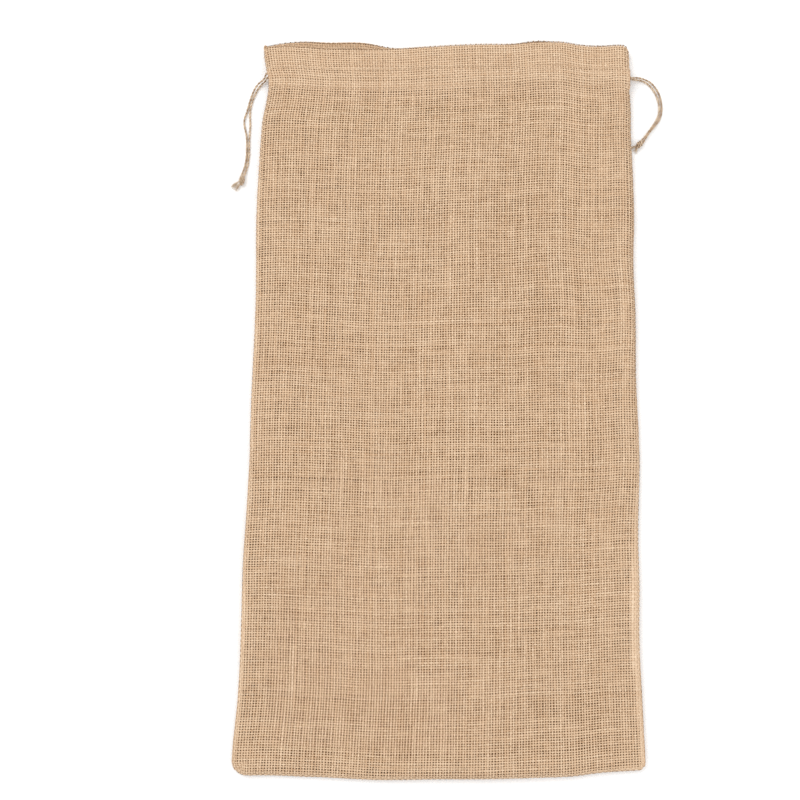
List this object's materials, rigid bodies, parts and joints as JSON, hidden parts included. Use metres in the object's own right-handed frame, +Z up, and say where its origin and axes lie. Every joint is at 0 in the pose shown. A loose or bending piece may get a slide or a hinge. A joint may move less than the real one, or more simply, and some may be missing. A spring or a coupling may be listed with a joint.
{
  "type": "drawstring gift bag",
  "caption": "Flat empty drawstring gift bag of open-weave burlap, with a stitched hem channel and a doubled jute drawstring that ends in a frayed knot at each side.",
  "frame": {"origin": "bottom centre of the bag as it lies flat, on the surface under the middle of the back panel", "axes": "+X across the bag, +Y along it towards the mouth, +Z up through the front panel"},
  "size_m": [0.4004, 0.668, 0.0144],
  "materials": {
    "burlap": "open plain weave of natural jute yarn, matte",
    "thread": "matte natural sewing thread",
    "jute": "two-ply twisted jute string, hairy, matte"
  },
  "bodies": {
    "bag": {"front_panel": "burlap", "back_panel": "burlap", "front_header_stitching": "thread", "front_channel_stitching": "thread", "back_header_stitching": "thread", "back_channel_stitching": "thread", "left_side_stitching": "thread", "left_header_seam_stitching": "thread", "right_side_stitching": "thread", "right_header_seam_stitching": "thread", "base_stitching": "thread", "left_drawstring_turn": "jute", "right_drawstring_turn": "jute"},
    "left_drawstring": {"left_drawstring_front_run": "jute", "left_drawstring_back_run": "jute", "left_drawstring_front_tail": "jute", "left_drawstring_back_tail": "jute", "left_drawstring_knot": "jute", "left_drawstring_frayed_ends": "jute"},
    "right_drawstring": {"right_drawstring_front_run": "jute", "right_drawstring_back_run": "jute", "right_drawstring_front_tail": "jute", "right_drawstring_back_tail": "jute", "right_drawstring_knot": "jute", "right_drawstring_frayed_ends": "jute"}
  },
  "joints": [
    {"name": "left_drawstring_pull", "type": "slide", "parent": "bag", "child": "left_drawstring", "axis": [-1, 0, 0], "range_m": [0, 0.28]},
    {"name": "right_drawstring_pull", "type": "slide", "parent": "bag", "child": "right_drawstring", "axis": [1, 0, 0], "range_m": [0, 0.28]}
  ]
}
